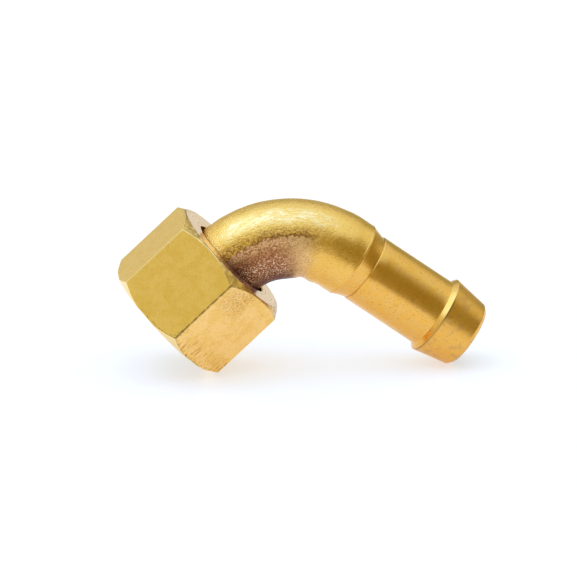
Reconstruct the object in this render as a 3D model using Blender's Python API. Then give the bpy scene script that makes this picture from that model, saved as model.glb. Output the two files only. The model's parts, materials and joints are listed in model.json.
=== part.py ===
"""Flare fitting: a bent brass hose tail that carries a loose hexagon swivel nut.

Metres, +Z up. The fitting stands like an arch: the nut on the front edge of its lowest
flat, the tail on the tip of its barb. The bend lies in the XZ plane, nut towards -X.
The origin is under the middle of the arch, on the surface it stands on.
"""
import math

import bmesh
import bpy
from mathutils import Vector

MM = 0.001

# Nut: 7/8 inch hexagon, 3/4-16 UNF female thread
ACROSS_FLATS = 22.225 * MM
NUT_LENGTH = 15.64 * MM
NUT_BACK_RADIUS = 10.94 * MM       # the turned flat circle that the back chamfer leaves
NUT_FRONT_RADIUS = 11.65 * MM      # wider than the flats, so each keeps a straight edge to stand on
CHAMFER_DEPTH = 1.355 * MM         # how far either end chamfer runs down a corner
THREAD_MAJOR_RADIUS = 9.525 * MM
THREAD_MINOR_RADIUS = 8.70 * MM
THREAD_PITCH = 25.4 / 16 * MM
THREAD_HALF_ANGLE = math.radians(30)
COUNTERSINK_RADIUS = 9.90 * MM     # at the nut's front face, at 45 degrees
RELIEF_RADIUS = 9.75 * MM          # the groove where the thread tool runs out
RELIEF_LENGTH = 1.9 * MM
WEB_LENGTH = 3.2 * MM              # the back wall that the tube passes through
BACK_HOLE_RADIUS = 7.36 * MM
BACK_HOLE_EDGE = 0.25 * MM         # the chamfer round the back hole

# Tail: tube, bend, shoulder, spigot and barb
TUBE_RADIUS = 6.66 * MM
BORE_RADIUS = 4.50 * MM
BEND_RADIUS = 15.50 * MM           # of the tube's centre line
BEND_ANGLE = math.radians(78.9)
BEND_SETBACK = 1.44 * MM           # how far inside the nut's back face the bend starts
SHOULDER_LENGTH = 1.86 * MM        # straight tube after the bend
CONE_LENGTH = 2.59 * MM
SPIGOT_RADIUS = 6.03 * MM
SPIGOT_LENGTH = 13.72 * MM
BARB_BACK_LENGTH = 0.70 * MM
BARB_CREST_RADIUS = 6.89 * MM
BARB_LENGTH = 6.04 * MM
BARB_TIP_RADIUS = 5.887 * MM
TIP_ROUND_LENGTH = 0.66 * MM
TIP_FACE_RADIUS = 5.215 * MM
TIP_LEAD_IN = 0.25 * MM            # the small chamfer at the bore's mouth

# Tail head, inside the nut: a collar with a 45 degree flare seat in its front face
COLLAR_RADIUS = 8.30 * MM
COLLAR_LENGTH = 3.60 * MM
COLLAR_FLOAT = 0.40 * MM           # gap between the collar and the nut's shoulder
COLLAR_EDGE = 0.35 * MM
SEAT_RADIUS = 7.90 * MM

ROUND_SEGMENTS = 48
FLAT_TURN = math.pi / 3            # from one flat of the nut to the next
BEND_STEPS = 16
SMOOTH_LIMIT = math.radians(32)

# Distances along the tail's centre line, from the nut's front face
BEND_START = NUT_LENGTH - BEND_SETBACK
BEND_END = BEND_START + BEND_RADIUS * BEND_ANGLE
SHOULDER_EDGE = BEND_END + SHOULDER_LENGTH
SPIGOT_START = SHOULDER_EDGE + CONE_LENGTH
BARB_START = SPIGOT_START + SPIGOT_LENGTH
BARB_CREST = BARB_START + BARB_BACK_LENGTH
BARB_TIP = BARB_CREST + BARB_LENGTH
TAIL_END = BARB_TIP + TIP_ROUND_LENGTH
NUT_SHOULDER = NUT_LENGTH - WEB_LENGTH
COLLAR_BACK = NUT_SHOULDER - COLLAR_FLOAT
COLLAR_FRONT = COLLAR_BACK - COLLAR_LENGTH


def centre_line(distance):
    """Point and direction in the bend plane, as (along, up), before the arch is stood up.

    The nut's axis is the first coordinate and the bend turns downwards.
    """
    if distance <= BEND_START:
        return (distance, 0.0), (1.0, 0.0)
    turned = min(distance - BEND_START, BEND_RADIUS * BEND_ANGLE) / BEND_RADIUS
    along = BEND_START + BEND_RADIUS * math.sin(turned)
    up = -BEND_RADIUS * (1.0 - math.cos(turned))
    direction = (math.cos(turned), -math.sin(turned))
    straight = max(distance - BEND_END, 0.0)
    return (along + direction[0] * straight, up + direction[1] * straight), direction


def tail_point(distance, height):
    """Point in the bend plane at a height above the tail's centre line, square to it."""
    (along, up), direction = centre_line(distance)
    return along - direction[1] * height, up + direction[0] * height


def nut_point(distance, height):
    """Point in the bend plane at a height above the nut's axis, which stays straight."""
    return distance, height


def chamfer_drop(radius, face_radius):
    """How far an end chamfer has run back from the nut's face at this radius."""
    corner_radius = ACROSS_FLATS / math.sqrt(3)
    return CHAMFER_DEPTH * max(radius - face_radius, 0.0) / (corner_radius - face_radius)


# The nut's edge and the barb's point that the arch stands on, and the pitch that levels them
FLAT_HEIGHT = ACROSS_FLATS / 2
NUT_FOOT = nut_point(0.0, -FLAT_HEIGHT)
TAIL_FOOT = tail_point(BARB_TIP, -BARB_TIP_RADIUS)
PITCH = -math.atan2(TAIL_FOOT[1] - NUT_FOOT[1], TAIL_FOOT[0] - NUT_FOOT[0])


def pitched(point):
    """Turn a bend-plane point into the standing arch, still measured from the nut's front."""
    along, up = point
    x = along * math.cos(PITCH) - up * math.sin(PITCH)
    z = along * math.sin(PITCH) + up * math.cos(PITCH)
    return x, z


NUT_END_X = pitched(nut_point(0.0, FLAT_HEIGHT))[0]
TAIL_END_X = pitched(tail_point(TAIL_END, TIP_FACE_RADIUS))[0]
SHIFT_X = -(NUT_END_X + TAIL_END_X) / 2
SHIFT_Z = -pitched(NUT_FOOT)[1]


def place(point, side):
    """World position of a bend-plane point moved sideways out of the plane."""
    x, z = pitched(point)
    return Vector((x + SHIFT_X, side, z + SHIFT_Z))


def ring_point(line, distance, radius, angle):
    """World position on a section of the nut or the tail; angle 0 is the section's top."""
    return place(line(distance, radius * math.cos(angle)), radius * math.sin(angle))


def material(name, colour, roughness):
    """Principled brass with its own colour and roughness."""
    made = bpy.data.materials.new(name)
    made.use_nodes = True
    shader = made.node_tree.nodes["Principled BSDF"]
    shader.inputs["Base Color"].default_value = (*colour, 1.0)
    shader.inputs["Metallic"].default_value = 1.0
    shader.inputs["Roughness"].default_value = roughness
    return made


def add_object(name, builder, finish, origin):
    """Make one named object whose own origin lies at a chosen world point."""
    mesh = bpy.data.meshes.new(name)
    bmesh.ops.translate(builder, verts=builder.verts, vec=-origin)
    bmesh.ops.recalc_face_normals(builder, faces=builder.faces)
    builder.to_mesh(mesh)
    builder.free()
    mesh.materials.append(finish)
    mesh.shade_smooth()
    mesh.set_sharp_from_angle(angle=SMOOTH_LIMIT)
    made = bpy.data.objects.new(name, mesh)
    made.location = origin
    bpy.context.collection.objects.link(made)
    return made


def add_ring(builder, points):
    """Add one closed ring of vertices."""
    return [builder.verts.new(point) for point in points]


def add_face(builder, *corners):
    """Add one face, or none where corners named twice leave fewer than three."""
    corners = list(dict.fromkeys(corners))
    if len(corners) > 2:
        builder.faces.new(corners)


def bridge(builder, first, second):
    """Join two rings of the same size with a band of faces."""
    count = len(first)
    for i in range(count):
        j = (i + 1) % count
        add_face(builder, first[i], first[j], second[j], second[i])


def section_angles():
    """Angles of the vertices round every section."""
    return [2 * math.pi * i / ROUND_SEGMENTS for i in range(ROUND_SEGMENTS)]


def hexagon_radius(angle):
    """Distance from the nut's axis to its side; a flat faces straight up at angle 0."""
    from_flat = (angle + FLAT_TURN / 2) % FLAT_TURN - FLAT_TURN / 2
    return FLAT_HEIGHT / math.cos(from_flat)


def round_ring(builder, line, distance, radius):
    """A round ring about the nut's axis or the tail's centre line."""
    return add_ring(builder, [ring_point(line, distance, radius, a) for a in section_angles()])


def back_edge(builder):
    """The edge where the back chamfer meets the six flats."""
    points = []
    for angle in section_angles():
        radius = hexagon_radius(angle)
        distance = NUT_LENGTH - chamfer_drop(radius, NUT_BACK_RADIUS)
        points.append(ring_point(nut_point, distance, radius, angle))
    return add_ring(builder, points)


def front_edges(builder):
    """The front chamfer's edge on the flats and its edge on the front face.

    They share the straight edge that the chamfer leaves in the middle of each flat. It has
    only its two ends as vertices, so that the nut stands on both of them and doesn't rock.
    """
    half_edge = math.acos(FLAT_HEIGHT / NUT_FRONT_RADIUS)
    ends = {}
    on_flats = []
    on_face = []
    for angle in section_angles():
        radius = hexagon_radius(angle)
        if radius > NUT_FRONT_RADIUS:
            distance = chamfer_drop(radius, NUT_FRONT_RADIUS)
            on_flats.append(builder.verts.new(ring_point(nut_point, distance, radius, angle)))
            on_face.append(builder.verts.new(ring_point(nut_point, 0.0, NUT_FRONT_RADIUS, angle)))
            continue
        flat = round(angle / FLAT_TURN)
        side = 1 if angle > (flat + 0.01) * FLAT_TURN else -1
        if (flat % 6, side) not in ends:
            end = ring_point(nut_point, 0.0, NUT_FRONT_RADIUS, flat * FLAT_TURN + side * half_edge)
            ends[flat % 6, side] = builder.verts.new(end)
        on_flats.append(ends[flat % 6, side])
        on_face.append(ends[flat % 6, side])
    return on_flats, on_face


def add_thread(builder, mouth, inner, end):
    """Right-hand helical thread from the mouth's ring to the relief's ring at its end.

    Its rows follow the helix. Where a row has not yet begun it is held at the mouth's ring,
    and where it has run past the end it is held at the relief's ring.
    """
    depth = THREAD_MAJOR_RADIUS - THREAD_MINOR_RADIUS
    flank = depth * math.tan(THREAD_HALF_ANGLE)
    root = THREAD_PITCH / 8
    crest = THREAD_PITCH - root - 2 * flank
    row_places = (0.0, crest, crest + flank, crest + flank + root)
    row_radii = (THREAD_MINOR_RADIUS, THREAD_MINOR_RADIUS, THREAD_MAJOR_RADIUS, THREAD_MAJOR_RADIUS)
    lead = THREAD_PITCH / ROUND_SEGMENTS
    made = {}

    def row_vertex(row, column):
        if column == ROUND_SEGMENTS:
            return row_vertex(row - len(row_places), 0)
        turn, step = divmod(row, len(row_places))
        distance = turn * THREAD_PITCH + row_places[step] - lead * column
        if distance < lead / 2:
            return mouth[column]
        if distance > end - lead / 2:
            return inner[column]
        if (row, column) not in made:
            radius = max(row_radii[step], COUNTERSINK_RADIUS - distance)
            angle = section_angles()[column]
            made[row, column] = builder.verts.new(ring_point(nut_point, distance, radius, angle))
        return made[row, column]

    for row in range(len(row_places) * math.ceil(end / THREAD_PITCH + 1)):
        for column in range(ROUND_SEGMENTS):
            add_face(builder, row_vertex(row, column), row_vertex(row, column + 1),
                     row_vertex(row + 1, column + 1), row_vertex(row + 1, column))


def make_nut(finish):
    """Hexagon nut: chamfered ends, threaded mouth, relief, shoulder and back hole."""
    builder = bmesh.new()
    thread_end = NUT_SHOULDER - RELIEF_LENGTH
    nut_rings = [
        (0.0, COUNTERSINK_RADIUS),
        (thread_end, RELIEF_RADIUS),
        (NUT_SHOULDER, RELIEF_RADIUS),
        (NUT_SHOULDER, BACK_HOLE_RADIUS),
        (NUT_LENGTH - BACK_HOLE_EDGE, BACK_HOLE_RADIUS),
        (NUT_LENGTH, BACK_HOLE_RADIUS + BACK_HOLE_EDGE),
        (NUT_LENGTH, NUT_BACK_RADIUS),
    ]
    rings = [round_ring(builder, nut_point, distance, radius) for distance, radius in nut_rings]
    mouth = rings.pop(0)
    add_thread(builder, mouth, rings[0], thread_end)
    rings.append(back_edge(builder))
    rings += front_edges(builder)
    rings.append(mouth)
    for first, second in zip(rings, rings[1:]):
        bridge(builder, first, second)
    return add_object("swivel_nut", builder, finish, place(nut_point(NUT_LENGTH, 0.0), 0.0))


def tail_profile():
    """(distance, radius) of every section, out along the skin and back along the bore."""
    skin = [
        (COLLAR_FRONT, SEAT_RADIUS),
        (COLLAR_FRONT, COLLAR_RADIUS - COLLAR_EDGE / 2),
        (COLLAR_FRONT + COLLAR_EDGE, COLLAR_RADIUS),
        (COLLAR_BACK - COLLAR_EDGE, COLLAR_RADIUS),
        (COLLAR_BACK, COLLAR_RADIUS - COLLAR_EDGE),
        (COLLAR_BACK, TUBE_RADIUS),
    ]
    bend = [BEND_START + BEND_RADIUS * BEND_ANGLE * i / BEND_STEPS for i in range(BEND_STEPS + 1)]
    skin += [(distance, TUBE_RADIUS) for distance in bend]
    skin += [
        (SHOULDER_EDGE, TUBE_RADIUS),
        (SPIGOT_START, SPIGOT_RADIUS),
        (BARB_START, SPIGOT_RADIUS),
        (BARB_CREST, BARB_CREST_RADIUS),
        (BARB_TIP, BARB_TIP_RADIUS),
        (TAIL_END, TIP_FACE_RADIUS),
    ]
    bore = [(TAIL_END, BORE_RADIUS + TIP_LEAD_IN), (TAIL_END - TIP_LEAD_IN, BORE_RADIUS)]
    bore += [(distance, BORE_RADIUS) for distance in reversed(bend)]
    seat_depth = SEAT_RADIUS - BORE_RADIUS
    bore += [(COLLAR_FRONT + seat_depth, BORE_RADIUS)]
    return skin + bore


def make_tail(finish):
    """Hose tail: one closed tube of sections, with its bore."""
    builder = bmesh.new()
    rings = [round_ring(builder, tail_point, distance, radius) for distance, radius in tail_profile()]
    for first, second in zip(rings, rings[1:] + rings[:1]):
        bridge(builder, first, second)
    return add_object("hose_tail", builder, finish, place(tail_point(BEND_START, 0.0), 0.0))


def main():
    for old in list(bpy.data.objects):
        bpy.data.objects.remove(old, do_unlink=True)
    nut = make_nut(material("nut_brass", (0.78, 0.58, 0.24), 0.28))
    make_tail(material("tail_brass", (0.72, 0.50, 0.20), 0.36))
    nut_axis = bpy.data.objects.new("nut_axis", None)
    nut_axis.location = nut.location
    nut_axis.rotation_euler = (0.0, -PITCH, 0.0)
    bpy.context.collection.objects.link(nut_axis)
    bpy.context.view_layer.update()
    nut.parent = nut_axis
    nut.matrix_parent_inverse = nut_axis.matrix_world.inverted()


main()
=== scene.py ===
"""Looks of the flare fitting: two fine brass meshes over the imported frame, studio and camera.

The nut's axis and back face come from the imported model. Profiles are in millimetres along
and away from that axis, and to_world turns them into the frame's metres.
"""
import json
import math

import bmesh
import bpy
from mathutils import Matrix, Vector, noise


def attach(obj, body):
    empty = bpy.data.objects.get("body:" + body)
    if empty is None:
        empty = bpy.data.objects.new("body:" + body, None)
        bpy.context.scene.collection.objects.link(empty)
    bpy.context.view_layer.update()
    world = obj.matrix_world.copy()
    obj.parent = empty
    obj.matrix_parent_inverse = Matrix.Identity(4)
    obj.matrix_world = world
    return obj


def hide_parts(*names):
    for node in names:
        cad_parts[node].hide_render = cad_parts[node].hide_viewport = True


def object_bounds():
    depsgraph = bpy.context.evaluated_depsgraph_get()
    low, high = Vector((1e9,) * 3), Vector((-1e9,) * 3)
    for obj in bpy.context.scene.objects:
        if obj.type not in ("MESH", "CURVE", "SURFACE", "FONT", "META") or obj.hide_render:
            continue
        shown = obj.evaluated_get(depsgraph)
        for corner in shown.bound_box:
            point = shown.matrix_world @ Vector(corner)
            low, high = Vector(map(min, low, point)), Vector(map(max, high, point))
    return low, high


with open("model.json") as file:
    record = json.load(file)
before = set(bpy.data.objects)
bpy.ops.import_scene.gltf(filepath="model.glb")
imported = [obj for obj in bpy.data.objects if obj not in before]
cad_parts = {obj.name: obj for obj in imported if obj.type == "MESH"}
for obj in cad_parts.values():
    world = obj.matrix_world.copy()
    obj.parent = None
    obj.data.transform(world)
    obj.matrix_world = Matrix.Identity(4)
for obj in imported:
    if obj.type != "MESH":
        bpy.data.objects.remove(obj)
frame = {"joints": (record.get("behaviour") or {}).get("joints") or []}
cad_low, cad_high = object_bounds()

MM = 0.001

# Nut, as in the CAD but for a deeper chamfer at the mouth
ACROSS_FLATS = 22.225
NUT_LENGTH = 15.64
NUT_BACK_RADIUS = 10.94
NUT_FRONT_RADIUS = 11.20
CHAMFER_DEPTH = 1.355
THREAD_MAJOR_RADIUS = 9.525
THREAD_MINOR_RADIUS = 8.70
THREAD_PITCH = 25.4 / 16
COUNTERSINK_RADIUS = 9.90
RELIEF_RADIUS = 9.75
RELIEF_LENGTH = 1.9
WEB_LENGTH = 3.2
BACK_HOLE_RADIUS = 7.36

# Tail, as in the CAD
TUBE_RADIUS = 6.66
BORE_RADIUS = 4.50
BEND_RADIUS = 15.50
BEND_ANGLE = math.radians(78.9)
BEND_SETBACK = 1.44
SHOULDER_LENGTH = 1.86
CONE_LENGTH = 2.59
SPIGOT_RADIUS = 6.03
SPIGOT_LENGTH = 13.72
BARB_BACK_LENGTH = 0.70
BARB_CREST_RADIUS = 6.89
BARB_LENGTH = 6.04
BARB_TIP_RADIUS = 5.887
TIP_ROUND_LENGTH = 0.66
TIP_FACE_RADIUS = 5.215
TIP_LEAD_IN = 0.25
COLLAR_RADIUS = 8.30
COLLAR_LENGTH = 3.60
COLLAR_FLOAT = 0.40
SEAT_RADIUS = 7.90

# Distances along the tail's centre line, from the nut's front face
BEND_START = NUT_LENGTH - BEND_SETBACK
BEND_END = BEND_START + BEND_RADIUS * BEND_ANGLE
SHOULDER_EDGE = BEND_END + SHOULDER_LENGTH
SPIGOT_START = SHOULDER_EDGE + CONE_LENGTH
BARB_START = SPIGOT_START + SPIGOT_LENGTH
BARB_CREST = BARB_START + BARB_BACK_LENGTH
BARB_TIP = BARB_CREST + BARB_LENGTH
TAIL_END = BARB_TIP + TIP_ROUND_LENGTH
NUT_SHOULDER = NUT_LENGTH - WEB_LENGTH
COLLAR_BACK = NUT_SHOULDER - COLLAR_FLOAT
COLLAR_FRONT = COLLAR_BACK - COLLAR_LENGTH
THREAD_END = NUT_SHOULDER - RELIEF_LENGTH

FLAT_HEIGHT = ACROSS_FLATS / 2
CORNER_RADIUS = ACROSS_FLATS / math.sqrt(3)

swivel = frame["joints"][0]
AXIS = Vector(swivel["axis"])
RISE = Vector((-AXIS.z, 0.0, AXIS.x))
ACROSS = Vector((0.0, 1.0, 0.0))
NUT_BACK = Vector(swivel["pos_m"])
NUT_FRONT = NUT_BACK - AXIS * NUT_LENGTH * MM


def to_world(along, up, across):
    """Frame point from millimetres along the nut's axis, up in the bend plane and across."""
    return NUT_FRONT + (AXIS * along + RISE * up + ACROSS * across) * MM


def fade(value, start, end):
    """Smooth step from 0 at start to 1 at end; start may be the larger."""
    share = min(max((value - start) / (end - start), 0.0), 1.0)
    return share * share * (3.0 - 2.0 * share)


def rounded(corners, steps=3):
    """Outline through (along, radius, fillet, finish) corners, each fillet as an arc.

    It returns (along, radius, finish) points; finish belongs to the stretch after a point.
    """
    outline = []
    for i, (along, radius, fillet, finish) in enumerate(corners):
        here = Vector((along, radius))
        if fillet == 0.0:
            outline.append((along, radius, finish))
            continue
        before = Vector(corners[i - 1][:2]) - here
        after = Vector(corners[(i + 1) % len(corners)][:2]) - here
        reach = fillet / math.tan(before.angle(after) / 2)
        reach = min(reach, before.length * 0.45, after.length * 0.45)
        start = here + before.normalized() * reach
        end = here + after.normalized() * reach
        for step in range(steps + 1):
            t = step / steps
            point = start * (1 - t) ** 2 + here * (2 * t * (1 - t)) + end * t ** 2
            outline.append((point.x, point.y, finish))
    return outline


def stretch(start, end, radius, step, finish):
    """Evenly spaced outline corners on a straight stretch, both ends left out."""
    count = max(round(abs(end - start) / step), 1)
    return [(start + (end - start) * i / count, radius, 0.0, finish) for i in range(1, count)]


def make_object(name, finishes, points, faces, slots, layers):
    """Smooth mesh object in the frame, with its texture coordinates and masks as attributes."""
    mesh = bpy.data.meshes.new(name)
    mesh.from_pydata(points, [], faces)
    for layer, values in layers.items():
        is_vector = isinstance(values[0], tuple)
        attribute = mesh.attributes.new(layer, "FLOAT_VECTOR" if is_vector else "FLOAT", "POINT")
        if is_vector:
            attribute.data.foreach_set("vector", [number for value in values for number in value])
        else:
            attribute.data.foreach_set("value", values)
    for finish in finishes:
        mesh.materials.append(finish)
    mesh.polygons.foreach_set("material_index", slots)
    builder = bmesh.new()
    builder.from_mesh(mesh)
    bmesh.ops.recalc_face_normals(builder, faces=builder.faces)
    builder.to_mesh(mesh)
    builder.free()
    mesh.shade_smooth()
    made = bpy.data.objects.new(name, mesh)
    bpy.context.collection.objects.link(made)
    weighted = made.modifiers.new("even_normals", "WEIGHTED_NORMAL")
    weighted.mode = "FACE_AREA"
    weighted.weight = 100
    return made


# ---------------------------------------------------------------- nut shape

EDGE_FILLET = 0.10
EDGE_BREAK = 0.09                  # the least chamfer on the mouth's straight edges
EDGE_WEAR = 0.6                    # share by which edges wear more or less round the nut
WEAR_RATE = 9.0
WEAR_SEED = 3.0
CORNER_FILLET = 0.16
RELIEF_FILLET = 0.15
HOLE_FRONT_FILLET = 0.08
HOLE_BACK_FILLET = 0.22
COUNTERSINK_FILLET = 0.06
FLAT_COLUMNS = 26
CORNER_COLUMNS = 4
FLAT_SHARES = (0.03, 0.08, 0.2, 0.35, 0.5, 0.65, 0.8, 0.92, 0.97)
THREAD_ROOT_SHARE = 0.125
THREAD_LEAD = 0.12                 # where the thread begins behind the mouth
CREST_ENDS = (0.12, 0.88)          # shares of the crest's width that its crown lies between
CREST_CROWN = 0.03
ROOT_HOLLOW = 1.06                 # share of the thread's depth in the middle of its root
ROW_GAP = 0.02                     # thread rows closer than this to an end ring join it
FAR_FROM_EDGE = 5.0
NUT_FLATS, NUT_TURNED, NUT_INSIDE = range(3)


def nut_columns():
    """(angle, radius, distance to the nearest corner) of each column round the nut."""
    columns = []
    half_angle = math.pi / 6
    half_side = (FLAT_HEIGHT - CORNER_FILLET) * math.tan(half_angle)
    arc_centre = (FLAT_HEIGHT - CORNER_FILLET) / math.cos(half_angle)
    for sector in range(6):
        turn = sector * 2 * half_angle
        for i in range(FLAT_COLUMNS + 1):
            side = half_side * math.sin(math.pi * (i / FLAT_COLUMNS - 0.5))
            angle = turn + math.atan2(side, FLAT_HEIGHT)
            columns.append((angle, math.hypot(side, FLAT_HEIGHT), half_side - abs(side)))
        for i in range(1, CORNER_COLUMNS):
            lean = 2 * half_angle * i / CORNER_COLUMNS
            forward = arc_centre * math.cos(half_angle) + CORNER_FILLET * math.cos(lean)
            sideways = arc_centre * math.sin(half_angle) + CORNER_FILLET * math.sin(lean)
            angle = turn + math.atan2(sideways, forward)
            columns.append((angle, math.hypot(forward, sideways), 0.0))
    return columns


def chamfer_drop(radius, face_radius):
    """How far an end chamfer has run back from its face at this radius."""
    return CHAMFER_DEPTH * max(radius - face_radius, 0.0) / (CORNER_RADIUS - face_radius)


def nut_outline(radius, angle):
    """Half-section of the nut from the relief out over the side to the mouth's countersink.

    It returns the outline and the places of its four outer edges.
    """
    wear = 1.0 + EDGE_WEAR * noise.noise(Vector((angle * WEAR_RATE, 0.0, WEAR_SEED)))
    fillet = EDGE_FILLET * wear
    back = NUT_LENGTH - chamfer_drop(radius, NUT_BACK_RADIUS)
    front = max(chamfer_drop(radius, NUT_FRONT_RADIUS), EDGE_BREAK * wear)
    face = min(NUT_FRONT_RADIUS, radius - EDGE_BREAK * wear)
    corners = [
        (THREAD_END, RELIEF_RADIUS, 0.0, NUT_INSIDE),
        (NUT_SHOULDER, RELIEF_RADIUS, RELIEF_FILLET, NUT_INSIDE),
        (NUT_SHOULDER, BACK_HOLE_RADIUS, HOLE_FRONT_FILLET, NUT_INSIDE),
        (NUT_LENGTH, BACK_HOLE_RADIUS, HOLE_BACK_FILLET, NUT_TURNED),
        (NUT_LENGTH, NUT_BACK_RADIUS, fillet, NUT_TURNED),
        (back, radius, fillet, NUT_FLATS),
    ]
    corners += [(back + (front - back) * share, radius, 0.0, NUT_FLATS) for share in FLAT_SHARES]
    corners += [
        (front, radius, fillet, NUT_TURNED),
        (0.0, face, fillet, NUT_TURNED),
        (0.0, COUNTERSINK_RADIUS, COUNTERSINK_FILLET, NUT_INSIDE),
        (THREAD_LEAD, COUNTERSINK_RADIUS - THREAD_LEAD, 0.0, NUT_INSIDE),
    ]
    edges = [(NUT_LENGTH, NUT_BACK_RADIUS), (back, radius), (front, radius), (0.0, face)]
    return rounded(corners), edges


def thread_rows():
    """(place in the pitch, depth) of the rows that repeat down the thread."""
    depth = THREAD_MAJOR_RADIUS - THREAD_MINOR_RADIUS
    flank = depth * math.tan(math.pi / 6) / THREAD_PITCH
    crest = 1.0 - THREAD_ROOT_SHARE - 2 * flank
    root = crest + flank
    return [
        (0.0, 0.0),
        (crest * CREST_ENDS[0], -CREST_CROWN),
        (crest * CREST_ENDS[1], -CREST_CROWN),
        (crest, 0.0),
        (crest + flank * 0.5, depth * 0.5),
        (root, depth),
        (root + THREAD_ROOT_SHARE * 0.5, depth * ROOT_HOLLOW),
        (root + THREAD_ROOT_SHARE, depth),
        (root + THREAD_ROOT_SHARE + flank * 0.5, depth * 0.5),
    ]


def nut_mesh():
    """Points, faces, slots and layers of the nut with its right-hand helical thread."""
    columns = nut_columns()
    count = len(columns)
    local = []
    edge = []
    slots = []
    faces = []

    def add_point(along, radius, angle, edge_distance=FAR_FROM_EDGE):
        local.append((along, radius * math.cos(angle), radius * math.sin(angle)))
        edge.append(edge_distance)
        return len(local) - 1

    def add_face(slot, *corners):
        corners = list(dict.fromkeys(corners))
        if len(corners) > 2:
            faces.append(corners)
            slots.append(slot)

    rings = []
    for angle, radius, corner_distance in columns:
        outline, edges = nut_outline(radius, angle)
        column = []
        for along, height, finish in outline:
            nearest = min(math.hypot(along - x, height - y) for x, y in edges)
            if finish == NUT_FLATS:
                nearest = min(nearest, corner_distance)
            column.append((add_point(along, height, angle, nearest), finish))
        rings.append(column)
    for i, column in enumerate(rings):
        beside = rings[(i + 1) % count]
        for ring in range(len(column) - 1):
            add_face(column[ring][1], column[ring][0], beside[ring][0],
                     beside[ring + 1][0], column[ring + 1][0])

    # Thread rows follow the helix and are held at the mouth's and the relief's rings
    rows = thread_rows()
    made = {}

    def row_point(row, i):
        if i == count:
            return row_point(row - len(rows), 0)
        angle = columns[i][0]
        turn, step = divmod(row, len(rows))
        place, depth = rows[step]
        along = (turn + place - (angle - columns[0][0]) / (2 * math.pi)) * THREAD_PITCH
        if along < THREAD_LEAD + ROW_GAP:
            return rings[i][-1][0]
        if along > THREAD_END - ROW_GAP:
            return rings[i][0][0]
        if (row, i) not in made:
            radius = max(THREAD_MINOR_RADIUS + depth, COUNTERSINK_RADIUS - along)
            made[row, i] = add_point(along, radius, angle)
        return made[row, i]

    for row in range(len(rows) * math.ceil(THREAD_END / THREAD_PITCH + 1)):
        for i in range(count):
            add_face(NUT_INSIDE, row_point(row, i), row_point(row, i + 1),
                     row_point(row + 1, i + 1), row_point(row + 1, i))
    points = [to_world(*place) for place in local]
    return points, faces, slots, {"local": local, "edge": edge}


# ---------------------------------------------------------------- tail shape

TAIL_COLUMNS = 128
LIP_LENGTH = 0.34                  # the slight burr that turning left round the shoulder
LIP_HEIGHT = 0.035
SPIGOT_STEP = 0.24                 # the cone is cut a little below the spigot it meets
CONE_BEVEL = 0.10                  # at both ends of the cone
MARKS_IN_BEND = (                  # a kink and a bulge: place along, half length and height
    (28.8, 1.5, -0.33),
    (31.6, 1.3, 0.10),
)
MARKS_SPREAD = (1.1, 0.2)          # radians from the inside of the bend
WAVE_ALONG = 0.22                  # noise cells per millimetre
WAVE_ROUND = 1.4                   # noise cells across the tube's radius
WAVES = ((1.0, 0.10), (2.7, 0.035))   # how much finer, and the height in millimetres
TAIL_TUBE, TAIL_TURNED, TAIL_HEAD, TAIL_BORE = range(4)


def centre_line(distance):
    """Point (along, up) on the tail's centre line and the direction it runs in."""
    if distance <= BEND_START:
        return (distance, 0.0), (1.0, 0.0)
    turned = min(distance - BEND_START, BEND_RADIUS * BEND_ANGLE) / BEND_RADIUS
    along = BEND_START + BEND_RADIUS * math.sin(turned)
    up = -BEND_RADIUS * (1.0 - math.cos(turned))
    direction = (math.cos(turned), -math.sin(turned))
    straight = max(distance - BEND_END, 0.0)
    return (along + direction[0] * straight, up + direction[1] * straight), direction


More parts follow.
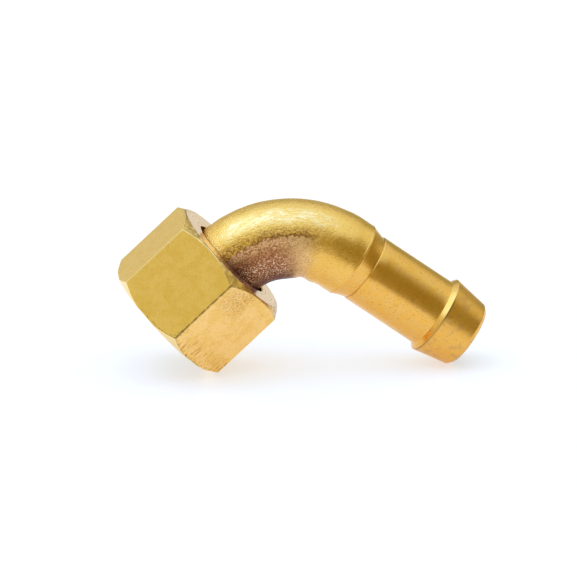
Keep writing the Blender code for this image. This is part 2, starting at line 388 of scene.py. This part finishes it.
def tail_outline():
    """Section of the tail: out over the head, tube, spigot and barb, back through the bore."""
    seat_depth = SEAT_RADIUS - BORE_RADIUS
    corners = [(COLLAR_FRONT, SEAT_RADIUS, 0.05, TAIL_HEAD),
               (COLLAR_FRONT, COLLAR_RADIUS, 0.30, TAIL_HEAD),
               (COLLAR_BACK, COLLAR_RADIUS, 0.35, TAIL_HEAD),
               (COLLAR_BACK, TUBE_RADIUS, 0.30, TAIL_TUBE)]
    lip = SHOULDER_EDGE - LIP_LENGTH
    corners += stretch(COLLAR_BACK + 1.0, lip - 0.4, TUBE_RADIUS, 0.33, TAIL_TUBE)
    corners += [(lip, TUBE_RADIUS, 0.20, TAIL_TURNED),
                (lip + LIP_LENGTH * 0.5, TUBE_RADIUS + LIP_HEIGHT, 0.15, TAIL_TURNED),
                (SHOULDER_EDGE, TUBE_RADIUS + LIP_HEIGHT * 0.6, 0.05, TAIL_TURNED),
                (SHOULDER_EDGE + CONE_BEVEL, TUBE_RADIUS - CONE_BEVEL, 0.0, TAIL_TURNED),
                (SPIGOT_START - CONE_BEVEL, SPIGOT_RADIUS - SPIGOT_STEP, 0.0, TAIL_TURNED),
                (SPIGOT_START, SPIGOT_RADIUS, 0.04, TAIL_TURNED)]
    corners += stretch(SPIGOT_START + 0.8, BARB_START - 0.3, SPIGOT_RADIUS, 0.8, TAIL_TURNED)
    corners += [(BARB_START, SPIGOT_RADIUS, 0.12, TAIL_TURNED),
                (BARB_CREST, BARB_CREST_RADIUS, 0.07, TAIL_TURNED),
                (BARB_TIP, BARB_TIP_RADIUS, 0.30, TAIL_TURNED),
                (TAIL_END, TIP_FACE_RADIUS, 0.12, TAIL_TURNED),
                (TAIL_END, BORE_RADIUS + TIP_LEAD_IN, 0.06, TAIL_TURNED),
                (TAIL_END - TIP_LEAD_IN, BORE_RADIUS, 0.10, TAIL_BORE)]
    corners += stretch(TAIL_END - 1.0, BEND_END, BORE_RADIUS, 1.5, TAIL_BORE)
    corners += stretch(BEND_END, BEND_START, BORE_RADIUS, 0.7, TAIL_BORE)
    corners += [(COLLAR_FRONT + seat_depth, BORE_RADIUS, 0.12, TAIL_HEAD),
                (COLLAR_FRONT + seat_depth * 0.5, BORE_RADIUS + seat_depth * 0.5, 0.0, TAIL_HEAD)]
    return rounded(corners)


def tail_swell(distance, angle):
    """How far the bent tube stands off its true round, in millimetres."""
    inside = fade(math.pi - abs(angle), *MARKS_SPREAD)
    marks = sum(height * inside * math.exp(-((distance - place) / reach) ** 2)
                for place, reach, height in MARKS_IN_BEND)
    bent = fade(distance, BEND_START, BEND_START + 3.0)
    bent *= fade(distance, SHOULDER_EDGE - 0.6, BEND_END)
    where = Vector((distance * WAVE_ALONG, WAVE_ROUND * math.cos(angle),
                    WAVE_ROUND * math.sin(angle)))
    wave = sum(height * noise.noise(where * finer) for finer, height in WAVES)
    return marks + bent * wave


def tail_mesh():
    """Points, faces, slots and layers of the tail."""
    outline = tail_outline()
    angles = [2 * math.pi * i / TAIL_COLUMNS - math.pi for i in range(TAIL_COLUMNS)]
    points = []
    local = []
    for distance, radius, finish in outline:
        (along, up), direction = centre_line(distance)
        for angle in angles:
            height = radius
            if finish == TAIL_TUBE:
                height += tail_swell(distance, angle)
            rise = height * math.cos(angle)
            side = height * math.sin(angle)
            points.append(to_world(along - direction[1] * rise, up + direction[0] * rise, side))
            local.append((distance, rise, side))
    faces = []
    slots = []
    rings = len(outline)
    for ring in range(rings):
        after = (ring + 1) % rings
        for i in range(TAIL_COLUMNS):
            j = (i + 1) % TAIL_COLUMNS
            faces.append((ring * TAIL_COLUMNS + i, ring * TAIL_COLUMNS + j,
                          after * TAIL_COLUMNS + j, after * TAIL_COLUMNS + i))
            slots.append(outline[ring][2])
    return points, faces, slots, {"local": local}


# ---------------------------------------------------------------- node helpers


def node(tree, kind, inputs=None, **settings):
    """Add a node; inputs are values or sockets by socket name or index."""
    made = tree.nodes.new(kind)
    for name, value in settings.items():
        setattr(made, name, value)
    for name, value in (inputs or {}).items():
        if isinstance(value, bpy.types.NodeSocket):
            tree.links.new(value, made.inputs[name])
        else:
            made.inputs[name].default_value = value
    return made


def maths(tree, operation, *values):
    """Math node; returns its result."""
    return node(tree, "ShaderNodeMath", dict(enumerate(values)), operation=operation).outputs[0]


def span(tree, value, low, high, out_low=0.0, out_high=1.0, smooth=True):
    """Map Range node from low..high to out_low..out_high."""
    kind = "SMOOTHSTEP" if smooth else "LINEAR"
    inputs = {"Value": value, "From Min": low, "From Max": high,
              "To Min": out_low, "To Max": out_high}
    return node(tree, "ShaderNodeMapRange", inputs, interpolation_type=kind).outputs[0]


def product(tree, *factors):
    """Product of masks and numbers."""
    result = factors[0]
    for factor in factors[1:]:
        result = maths(tree, "MULTIPLY", result, factor)
    return result


def zone(tree, value, limits):
    """Mask from 0 at the first limit to 1 at the second, then back from the third to the fourth.

    With two limits it stays at 1, and the first may be the larger.
    """
    rise = span(tree, value, limits[0], limits[1])
    if len(limits) == 2:
        return rise
    return product(tree, rise, span(tree, value, limits[3], limits[2]))


def grain(tree, vector, scale, detail=3.0, roughness=0.55, distortion=0.0):
    """Noise texture value."""
    inputs = {"Vector": vector, "Scale": scale, "Detail": detail,
              "Roughness": roughness, "Distortion": distortion}
    return node(tree, "ShaderNodeTexNoise", inputs).outputs[0]


def scaled(tree, vector, x, y, z):
    """Texture coordinates stretched by a factor along each axis."""
    inputs = {0: vector, 1: (x, y, z)}
    return node(tree, "ShaderNodeVectorMath", inputs, operation="MULTIPLY").outputs[0]


def mix(tree, factor, first, second, blend="MIX"):
    """Colour mix; returns its result."""
    inputs = {0: factor, 6: first, 7: second}
    return node(tree, "ShaderNodeMix", inputs, data_type="RGBA", blend_type=blend).outputs[2]


def laid(tree, colour, tint, strength, *masks):
    """Colour with a tint laid over it, at this strength where every mask is 1."""
    return mix(tree, product(tree, *masks, strength), colour, tint)


def rgb(red, green, blue):
    """Linear colour with full alpha."""
    return (red, green, blue, 1.0)


def metal(name):
    """New metallic material; returns it with its tree, shader and local coordinates."""
    made = bpy.data.materials.new(name)
    made.use_nodes = True
    tree = made.node_tree
    shader = tree.nodes["Principled BSDF"]
    shader.inputs["Metallic"].default_value = 1.0
    local = node(tree, "ShaderNodeAttribute", attribute_name="local").outputs["Vector"]
    return made, tree, shader, local


def round_axis(tree, local):
    """Place along the piece's axis, distance from it and angle from its top without a sign."""
    along, rise, side = node(tree, "ShaderNodeSeparateXYZ", {0: local}).outputs
    square = maths(tree, "ADD", product(tree, rise, rise), product(tree, side, side))
    angle = maths(tree, "ABSOLUTE", maths(tree, "ARCTAN2", side, rise))
    return along, maths(tree, "SQRT", square), angle


def finish_metal(tree, shader, colour, roughness, height, depth):
    """Wire colour, roughness and bump height (depth in metres) into the shader."""
    tree.links.new(colour, shader.inputs["Base Color"])
    tree.links.new(roughness, shader.inputs["Roughness"])
    bump = node(tree, "ShaderNodeBump", {"Strength": 1.0, "Distance": depth, "Height": height})
    tree.links.new(bump.outputs[0], shader.inputs["Normal"])


# ---------------------------------------------------------------- materials

NUT_BRASS = rgb(0.97, 0.62, 0.21)
NUT_MOTTLE = rgb(0.91, 0.56, 0.15)
NUT_STAIN = rgb(0.52, 0.25, 0.06)
# Dirt, also used as painted shade along the nut's edges; then a painted highlight for edges and
# the mouth's chamfer
GRIME_AND_PAINTED_SHADE = rgb(0.20, 0.12, 0.03)
NUT_PAINTED_HIGHLIGHT = rgb(0.97, 0.74, 0.36)
FACE_PINK = rgb(0.91, 0.64, 0.49)
CHAMFER_BRASS = rgb(0.90, 0.53, 0.12)
TAIL_BRASS = rgb(0.85, 0.48, 0.09)
TAIL_MOTTLE = rgb(0.88, 0.52, 0.12)
# A painted highlight for the tube's crown
TAIL_PAINTED_HIGHLIGHT = rgb(0.95, 0.78, 0.42)
SPIGOT_BRASS = rgb(0.85, 0.45, 0.08)
SPIGOT_MOTTLE = rgb(0.84, 0.47, 0.11)
COPPER_PINK = rgb(0.50, 0.19, 0.075)
# Copper painted paler as light, for the stain's upper part
COPPER_PAINTED_LIGHT = rgb(0.88, 0.48, 0.22)
# Painted glints for the stain
PAINTED_COPPER_GLINT = rgb(0.97, 0.72, 0.50)
PALE_HEAT = rgb(0.82, 0.50, 0.20)
OXIDE_BROWN = rgb(0.25, 0.095, 0.03)
# Near black: dark stain that also serves as painted shade under the bend and by the nut
OXIDE_AND_PAINTED_SHADE = rgb(0.11, 0.03, 0.01)
THREAD_BRASS = rgb(0.80, 0.56, 0.20)
THREAD_DARK = rgb(0.70, 0.46, 0.14)
HEAD_BRASS = rgb(0.80, 0.55, 0.20)
BORE_BRASS = rgb(0.66, 0.44, 0.14)
PLAIN_SHADE = 0.9                  # darkest share of a plain finish's colour

FLATS_DEPTH = 0.000014             # bump heights in metres
CUT_DEPTH = 0.000006
TUBE_DEPTH = 0.00009
SPIGOT_DEPTH = 0.00002

# Zones of marks, painted highlights and painted shade, with their limits as zone() takes them:
# along a piece in millimetres from the nut's mouth, round it in radians from its top
# Where the mouth's chamfer gets a painted highlight
MOUTH_HIGHLIGHT_ALONG = (3.0, 1.5)
BACK_CHAMFER_ALONG = (6.0, 10.0)
BACK_FACE_ALONG = (NUT_LENGTH - 0.08, NUT_LENGTH - 0.02)
# Where the nut's edges get painted shade: towards the back on turned faces, low round the flats
BACK_EDGE_SHADE_ALONG = (3.0, 6.0)
EDGE_SHADE_ROUND = (1.15, 1.45, 2.15, 2.40)
STREAK_ALONG = (5.0, 1.5)
STREAK_ROUND = (1.60, 1.80)
PATCH_ALONG = (9.0, 12.0)
PATCH_ROUND = (1.50, 1.75, 1.95, 2.20)
NICK_ALONG = (5.0, 2.5)
NICK_ROUND = (0.85, 1.10)
NICK_REACH = (0.60, 0.10)          # from the nearest edge, in millimetres
FLAT_EDGE_WIDTH = 0.17
TURNED_EDGE_WIDTH = 0.09

FRINGE_ALONG = (31.0, 27.0)
FRINGE_ROUND = (0.85, 1.20)
# The crown's painted highlight
CROWN_HIGHLIGHT_ALONG = (16.0, 19.0, 29.0, 33.0)
CROWN_HIGHLIGHT_ROUND = (0.35, 0.60, 0.72, 0.98)
HEAT_ALONG = (31.0, 27.6)
HEAT_ROUND = (1.22, 1.28)
HEAT_MATT_ALONG = (30.0, 26.0)
# Where the stain's upper part is painted paler, standing in for light
HEAT_LIT_TOP_ROUND = (1.65, 1.35)
HEAT_PALE_ALONG = (23.0, 28.5)
# Where the stain darkens underneath and by the nut: dark stain and painted shade
UNDER_ALONG = (28.0, 25.0)
UNDER_ROUND = (1.75, 2.50)
BY_NUT_ALONG = (20.5, 15.5)
BY_NUT_ROUND = (1.20, 1.70)
# Where the stain's painted glints go
GLINT_ALONG = (27.0, 24.0)
GLINT_ROUND = (1.50, 1.85, 2.15, 2.50)
RIM_ALONG = (18.5, 20.5, 28.5, 30.0)
RIM_ROUND = (1.15, 1.20, 1.24, 1.29)
# The ring of painted shade and dark stain next to the nut
DARK_RING_ALONG = (16.8, 15.2)
DARK_RING_ROUND = (0.90, 1.40)
GRAINY_ALONG = (34.0, 29.0)

BARB_ALONG = (BARB_CREST - 0.1, BARB_CREST + 0.1)
DIRT_ALONG = (BARB_CREST + 0.45, BARB_CREST + 0.1)
DIRT_ROUND = (0.60, 0.90)


def edge_distance(tree):
    """Millimetres to the nut's nearest outer edge."""
    return node(tree, "ShaderNodeAttribute", attribute_name="edge").outputs["Fac"]


def edge_highlight_and_shade(tree, local, low, colour, width):
    """Edges painted bright as a highlight, or painted dark as shade where low is 1."""
    ragged = span(tree, grain(tree, local, 1.1, 3.0, 0.6), 0.35, 0.55, 0.35, 1.0)
    near = span(tree, edge_distance(tree), width, width * 0.2)
    colour = laid(tree, colour, NUT_PAINTED_HIGHLIGHT, 0.5, near, maths(tree, "SUBTRACT", 1.0, low))
    return laid(tree, colour, GRIME_AND_PAINTED_SHADE, 0.8, near, low, ragged)


def nut_flats_material():
    """Drawn hexagon bar: faint lines along the axis, mottling, pits, a stain, and edges painted
    bright as a highlight or dark as shade.
    """
    made, tree, shader, local = metal("nut_flats")
    along, _, angle = round_axis(tree, local)
    lines = grain(tree, scaled(tree, local, 0.25, 4.0, 4.0), 1.0, 2.0, 0.5)
    mottle = grain(tree, local, 0.45, 4.0, 0.6, 0.4)
    swell = grain(tree, local, 0.9, 1.0, 0.5, 0.8)
    fine = grain(tree, local, 3.2, 3.0, 0.6)
    spots = grain(tree, local, 3.0, 2.0, 0.6)
    pit = span(tree, spots, 0.36, 0.29)
    colour = mix(tree, span(tree, mottle, 0.40, 0.62), NUT_BRASS, NUT_MOTTLE)
    colour = mix(tree, span(tree, fine, 0.58, 0.72, 0.0, 0.3), colour, NUT_STAIN)

    # Thin veins where a noise crosses its middle value
    vein = maths(tree, "SUBTRACT", grain(tree, local, 1.3, 3.0, 0.6, 1.2), 0.5)
    vein = span(tree, maths(tree, "ABSOLUTE", vein), 0.016, 0.004)
    colour = laid(tree, colour, NUT_STAIN, 0.40, vein, span(tree, spots, 0.46, 0.56))
    colour = laid(tree, colour, NUT_STAIN, 0.45, pit)

    # Short streaks at the mouth, a stain by the back and nicked edges, all low on the nut
    streak = grain(tree, scaled(tree, local, 0.6, 3.2, 3.2), 1.0, 5.0, 0.7, 0.3)
    colour = laid(tree, colour, NUT_STAIN, 0.75, span(tree, streak, 0.53, 0.60),
                  zone(tree, along, STREAK_ALONG), zone(tree, angle, STREAK_ROUND))
    colour = laid(tree, colour, NUT_STAIN, 0.65, span(tree, fine, 0.44, 0.60, 0.15, 1.0),
                  zone(tree, along, PATCH_ALONG), zone(tree, angle, PATCH_ROUND))
    colour = laid(tree, colour, GRIME_AND_PAINTED_SHADE, 0.7, span(tree, spots, 0.53, 0.60),
                  zone(tree, edge_distance(tree), NICK_REACH),
                  zone(tree, along, NICK_ALONG), zone(tree, angle, NICK_ROUND))
    # Edges painted bright as a highlight, and painted dark as shade low on the nut
    low = zone(tree, angle, EDGE_SHADE_ROUND)
    colour = edge_highlight_and_shade(tree, local, low, colour, FLAT_EDGE_WIDTH)

    roughness = maths(tree, "ADD", span(tree, mottle, 0.3, 0.7, 0.20, 0.28),
                      product(tree, pit, 0.2))
    height = maths(tree, "ADD", product(tree, lines, 0.10), product(tree, swell, 1.2))
    height = maths(tree, "ADD", height, product(tree, fine, 0.10))
    height = maths(tree, "SUBTRACT", height, product(tree, pit, 0.5))
    finish_metal(tree, shader, colour, roughness, height, FLATS_DEPTH)
    return made


def nut_turned_material():
    """Turned faces and chamfers: fine rings about the axis, a pale pink back face, rims painted
    dark as shade, a painted highlight at the mouth.
    """
    made, tree, shader, local = metal("nut_turned")
    along, radius, _ = round_axis(tree, local)
    ring_place = node(tree, "ShaderNodeCombineXYZ", {0: radius, 1: along, 2: 0.0}).outputs[0]
    rings = grain(tree, ring_place, 3.0, 3.0, 0.6)
    blotch = grain(tree, local, 0.6, 3.0)
    colour = mix(tree, span(tree, blotch, 0.35, 0.7), NUT_BRASS, NUT_MOTTLE)
    # A painted highlight on the mouth's chamfer
    colour = laid(tree, colour, NUT_PAINTED_HIGHLIGHT, 0.5, zone(tree, along, MOUTH_HIGHLIGHT_ALONG))
    colour = mix(tree, zone(tree, along, BACK_CHAMFER_ALONG), colour, CHAMFER_BRASS)
    face = laid(tree, FACE_PINK, NUT_STAIN, 0.65, span(tree, rings, 0.53, 0.62),
                span(tree, blotch, 0.40, 0.55))
    colour = mix(tree, zone(tree, along, BACK_FACE_ALONG), colour, face)
    # Rims painted dark as shade towards the back, bright as a highlight towards the mouth
    low = zone(tree, along, BACK_EDGE_SHADE_ALONG)
    colour = edge_highlight_and_shade(tree, local, low, colour, TURNED_EDGE_WIDTH)
    roughness = span(tree, rings, 0.3, 0.7, 0.18, 0.28)
    finish_metal(tree, shader, colour, roughness, rings, CUT_DEPTH)
    return made


def nut_inside_material():
    """Cut thread and hole, a little duller than the outside."""
    made, tree, shader, local = metal("nut_inside")
    marks = grain(tree, scaled(tree, local, 6.0, 1.0, 1.0), 1.5, 3.0)
    colour = mix(tree, marks, THREAD_DARK, THREAD_BRASS)
    roughness = span(tree, marks, 0.3, 0.7, 0.22, 0.36)
    finish_metal(tree, shader, colour, roughness, marks, CUT_DEPTH)
    return made


def heat_stain(tree, plain, ragged, speckle, coarse):
    """Copper pink, paler at its top as painted light, near black brown by the nut and underneath
    as dark stain and painted shade, with painted glints, pale where it runs out.

    plain and ragged are (along, angle), the second with the stain's uneven borders.
    """
    # The stain's upper part is painted paler, standing in for light
    top = zone(tree, ragged[1], HEAT_LIT_TOP_ROUND)
    stain = mix(tree, top, COPPER_PINK, COPPER_PAINTED_LIGHT)
    stain = mix(tree, span(tree, speckle, 0.54, 0.42, 0.0, 0.8), stain, OXIDE_BROWN)
    pale = mix(tree, span(tree, speckle, 0.50, 0.38, 0.0, 0.45), PALE_HEAT, OXIDE_BROWN)
    stain = mix(tree, zone(tree, ragged[0], HEAT_PALE_ALONG), stain, pale)
    # Near black under the bend and by the nut: dark stain and painted shade
    under = product(tree, zone(tree, ragged[1], UNDER_ROUND), zone(tree, ragged[0], UNDER_ALONG))
    by_nut = product(tree, zone(tree, ragged[0], BY_NUT_ALONG),
                     zone(tree, ragged[1], BY_NUT_ROUND))
    dark = product(tree, maths(tree, "MAXIMUM", under, by_nut),
                   span(tree, coarse, 0.62, 0.42, 0.5, 0.95))
    stain = mix(tree, dark, stain, OXIDE_AND_PAINTED_SHADE)
    # Painted glints in the stain's lower half
    return laid(tree, stain, PAINTED_COPPER_GLINT, 0.9, zone(tree, plain[1], GLINT_ROUND),
                zone(tree, plain[0], GLINT_ALONG), span(tree, speckle, 0.54, 0.60))


def tail_tube_material():
    """Bent tube: annealed brass, grainy, with pink and brown heat stain inside the bend, painted
    shade under it and by the nut, and a painted highlight along its crown.
    """
    made, tree, shader, local = metal("tail_tube")
    along, _, angle = round_axis(tree, local)
    border = grain(tree, local, 0.9, 4.0, 0.65)
    ragged_angle = maths(tree, "ADD", angle, span(tree, border, 0.3, 0.7, -0.07, 0.07, False))
    ragged_along = maths(tree, "ADD", along, span(tree, border, 0.3, 0.7, -0.8, 0.8, False))
    speckle = grain(tree, local, 3.4, 3.0, 0.7)
    coarse = grain(tree, local, 1.5, 4.0, 0.7, 0.3)
    colour = mix(tree, span(tree, grain(tree, local, 0.5), 0.3, 0.7), TAIL_BRASS, TAIL_MOTTLE)

    # Brown freckles gather along the stain's upper border and thin out past the bend
    fringe = product(tree, zone(tree, ragged_angle, FRINGE_ROUND),
                     span(tree, speckle, 0.56, 0.46), zone(tree, along, FRINGE_ALONG), 0.8)
    freckle = span(tree, speckle, 0.41, 0.34, 0.0, 0.4)
    colour = mix(tree, maths(tree, "MAXIMUM", fringe, freckle), colour, OXIDE_BROWN)

    # The crown gets a painted highlight, broken into short strokes
    highlight_strokes = grain(tree, scaled(tree, local, 0.9, 2.2, 2.2), 1.0, 5.0, 0.75, 0.4)
    colour = laid(tree, colour, TAIL_PAINTED_HIGHLIGHT, 0.65, zone(tree, ragged_angle, CROWN_HIGHLIGHT_ROUND),
                  zone(tree, ragged_along, CROWN_HIGHLIGHT_ALONG), span(tree, highlight_strokes, 0.42, 0.62))

    # The stain inside the bend, a dark line along its top and, where the tube meets the nut, a
    # ring of painted shade and dark stain
    colour = laid(tree, colour, OXIDE_BROWN, 0.55, zone(tree, ragged_angle, RIM_ROUND),
                  zone(tree, along, RIM_ALONG))
    heat = product(tree, zone(tree, ragged_angle, HEAT_ROUND),
                   zone(tree, ragged_along, HEAT_ALONG))
    stain = heat_stain(tree, (along, angle), (ragged_along, ragged_angle), speckle, coarse)
    colour = mix(tree, heat, colour, stain)
    # A ring of painted shade and dark stain where the tube meets the nut
    colour = laid(tree, colour, OXIDE_AND_PAINTED_SHADE, 0.6, zone(tree, ragged_along, DARK_RING_ALONG),
                  zone(tree, angle, DARK_RING_ROUND))

    matt = product(tree, heat, zone(tree, ragged_along, HEAT_MATT_ALONG))
    tree.links.new(span(tree, matt, 0.0, 1.0, 1.0, 0.35, False), shader.inputs["Metallic"])
    shader.inputs["Specular IOR Level"].default_value = 0.1
    roughness = maths(tree, "ADD", span(tree, coarse, 0.3, 0.7, 0.20, 0.32),
                      product(tree, matt, 0.15))
    grainy = span(tree, along, *GRAINY_ALONG, 0.25, 1.0)
    height = product(tree, maths(tree, "ADD", product(tree, speckle, 0.8), coarse), grainy)
    finish_metal(tree, shader, colour, roughness, height, TUBE_DEPTH)
    return made


def tail_turned_material():
    """Turned spigot and barb: smooth brass with faint rings, freckles and a dirty barb edge."""
    made, tree, shader, local = metal("tail_turned")
    along, _, angle = round_axis(tree, local)
    rings = grain(tree, scaled(tree, local, 7.0, 0.5, 0.5), 1.0, 3.0, 0.6)
    blotch = grain(tree, local, 0.7, 4.0, 0.6, 0.4)
    speckle = grain(tree, local, 3.8, 3.0, 0.65)
    barb = zone(tree, along, BARB_ALONG)
    colour = mix(tree, span(tree, blotch, 0.38, 0.62), SPIGOT_BRASS, SPIGOT_MOTTLE)
    colour = mix(tree, span(tree, speckle, 0.44, 0.32, 0.0, 0.4), colour, OXIDE_BROWN)
    colour = laid(tree, colour, GRIME_AND_PAINTED_SHADE, 0.6, barb, zone(tree, along, DIRT_ALONG),
                  zone(tree, angle, DIRT_ROUND))
    cloud = product(tree, barb, span(tree, blotch, 0.52, 0.60, 0.0, 0.35))
    colour = mix(tree, cloud, colour, NUT_STAIN)
    roughness = maths(tree, "ADD", span(tree, rings, 0.3, 0.7, 0.19, 0.27),
                      product(tree, barb, 0.09))
    height = maths(tree, "ADD", product(tree, rings, 0.4), product(tree, speckle, 0.6))
    finish_metal(tree, shader, colour, roughness, height, SPIGOT_DEPTH)
    return made



def tail_plain_material(name, colour, low, high):
    """Machined head or drilled bore, with its lowest and highest roughness."""
    made, tree, shader, local = metal(name)
    marks = grain(tree, scaled(tree, local, 5.0, 0.8, 0.8), 1.0, 3.0)
    darker = rgb(*(PLAIN_SHADE * part for part in colour[:3]))
    tone = mix(tree, marks, darker, colour)
    roughness = span(tree, marks, 0.3, 0.7, low, high)
    finish_metal(tree, shader, tone, roughness, marks, CUT_DEPTH)
    return made


# ---------------------------------------------------------------- pieces

nut_finishes = [nut_flats_material(), nut_turned_material(), nut_inside_material()]
nut = make_object("nut_shell", nut_finishes, *nut_mesh())
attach(nut, "nut")
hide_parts("swivel_nut")

tail_finishes = [tail_tube_material(), tail_turned_material(),
                 tail_plain_material("tail_head", HEAD_BRASS, 0.20, 0.30),
                 tail_plain_material("tail_bore", BORE_BRASS, 0.30, 0.42)]
tail = make_object("tail_shell", tail_finishes, *tail_mesh())
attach(tail, "tail")
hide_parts("hose_tail")

# ---------------------------------------------------------------- studio

FLOOR_RADIUS = 0.085
FLOOR_SIDES = 96
FLOOR_COLOUR = rgb(0.50, 0.485, 0.475)
FLOOR_ROUGHNESS = 0.35
FLOOR_SPECULAR = 0.15
FLOOR_GLOW = rgb(1.0, 1.0, 1.03)
FLOOR_GLOW_STRENGTH = 0.56
BACKDROP = rgb(1.0, 1.0, 1.0)
BACKDROP_STRENGTH = 1.05

# Room light by elevation in degrees, then patches of it: azimuth from behind the object towards
# its barb, half width, softness, lowest and highest elevation, softness, and colour
ROOM = ((-12, (1.00, 0.98, 0.95)), (4, (0.88, 0.88, 0.58)), (36, (0.88, 0.96, 0.94)),
        (62, (1.08, 1.42, 2.10)))
PATCHES = (
    (100, 68, 18, 5, 14, 10, (0.37, 0.33, 0.10)),
    (20, 24, 24, 7, 21, 12, (0.44, 0.46, 0.26)),
    (141, 32, 21, -6, 32, 12, (0.35, 0.30, 0.09)),
    (-140, 22, 18, 4, 34, 14, (0.72, 0.76, 0.44)),
    (-172, 14, 14, 8, 32, 12, (0.57, 0.57, 0.45)),
    (-95, 45, 25, -60, 0, 6, (1.10, 1.08, 1.00)),
    (-85, 45, 25, 48, 74, 9, (1.35, 1.95, 3.30)),
)


def make_floor():
    """Pale floor that glows enough to stay white, with a soft shadow under the fitting."""
    mesh = bpy.data.meshes.new("floor")
    turns = [2 * math.pi * i / FLOOR_SIDES for i in range(FLOOR_SIDES)]
    rim = [(FLOOR_RADIUS * math.cos(turn), FLOOR_RADIUS * math.sin(turn), cad_low[2])
           for turn in turns]
    mesh.from_pydata(rim, [], [tuple(range(FLOOR_SIDES))])
    made = bpy.data.objects.new("floor", mesh)
    bpy.context.collection.objects.link(made)
    paint = bpy.data.materials.new("floor_paint")
    paint.use_nodes = True
    shader = paint.node_tree.nodes["Principled BSDF"]
    shader.inputs["Base Color"].default_value = FLOOR_COLOUR
    shader.inputs["Roughness"].default_value = FLOOR_ROUGHNESS
    shader.inputs["Specular IOR Level"].default_value = FLOOR_SPECULAR
    shader.inputs["Emission Color"].default_value = FLOOR_GLOW
    shader.inputs["Emission Strength"].default_value = FLOOR_GLOW_STRENGTH
    mesh.materials.append(paint)


def make_sky():
    """World light: a pale room, its darker corners and the key softbox, white to the camera."""
    world = bpy.data.worlds.new("studio")
    bpy.context.scene.world = world
    world.use_nodes = True
    tree = world.node_tree
    tree.nodes.clear()
    direction = node(tree, "ShaderNodeTexCoord").outputs["Generated"]
    parts = node(tree, "ShaderNodeSeparateXYZ", {0: direction}).outputs
    elevation = product(tree, maths(tree, "ARCSINE", parts[2]), math.degrees(1.0))
    level = node(tree, "ShaderNodeCombineXYZ", {0: parts[0], 1: parts[1], 2: 0.0}).outputs[0]
    level = node(tree, "ShaderNodeVectorMath", {0: level}, operation="NORMALIZE").outputs[0]
    colour = rgb(*ROOM[0][1])
    for (low, _), (high, tint) in zip(ROOM, ROOM[1:]):
        colour = mix(tree, span(tree, elevation, low, high), colour, rgb(*tint))
    for azimuth, half, blur, low, high, fall, tint in PATCHES:
        towards = (math.sin(math.radians(azimuth)), math.cos(math.radians(azimuth)), 0.0)
        facing = node(tree, "ShaderNodeVectorMath", {0: level, 1: towards},
                      operation="DOT_PRODUCT").outputs["Value"]
        across = span(tree, facing, math.cos(math.radians(half + blur)),
                      math.cos(math.radians(half)))
        above = span(tree, elevation, low - fall, low)
        below = span(tree, elevation, high + fall, high)
        share = product(tree, across, above, below)
        colour = mix(tree, share, colour, rgb(*tint))
    light = node(tree, "ShaderNodeBackground", {"Color": colour}).outputs[0]
    backdrop = {"Color": BACKDROP, "Strength": BACKDROP_STRENGTH}
    plain = node(tree, "ShaderNodeBackground", backdrop)
    seen = node(tree, "ShaderNodeLightPath").outputs["Is Camera Ray"]
    both = node(tree, "ShaderNodeMixShader", {0: seen, 1: light, 2: plain.outputs[0]})
    node(tree, "ShaderNodeOutputWorld", {0: both.outputs[0]})


make_floor()
make_sky()

# ---------------------------------------------------------------- camera

CAMERA_AZIMUTH = math.radians(-4.2)
CAMERA_ELEVATION = math.radians(17.1)
CAMERA_LENS = 800.0
SENSOR_WIDTH = 36.0
CAMERA_REACH = 10.0
FRAME_WIDTH = 96.0 * MM
LOOK_AT = Vector((NUT_BACK.x + 9.31 * MM, -2.14 * MM, 14.0 * MM))

camera_data = bpy.data.cameras.new("camera")
camera_data.lens = CAMERA_LENS
camera_data.sensor_width = SENSOR_WIDTH
camera_data.clip_end = CAMERA_REACH
camera = bpy.data.objects.new("camera", camera_data)
bpy.context.collection.objects.link(camera)
away = Vector((math.sin(CAMERA_AZIMUTH) * math.cos(CAMERA_ELEVATION),
               -math.cos(CAMERA_AZIMUTH) * math.cos(CAMERA_ELEVATION),
               math.sin(CAMERA_ELEVATION)))
camera.location = LOOK_AT + away * (FRAME_WIDTH * CAMERA_LENS / SENSOR_WIDTH)
camera.rotation_euler = away.to_track_quat("Z", "Y").to_euler()
bpy.context.scene.camera = camera
bpy.context.scene.view_settings.view_transform = "Standard"
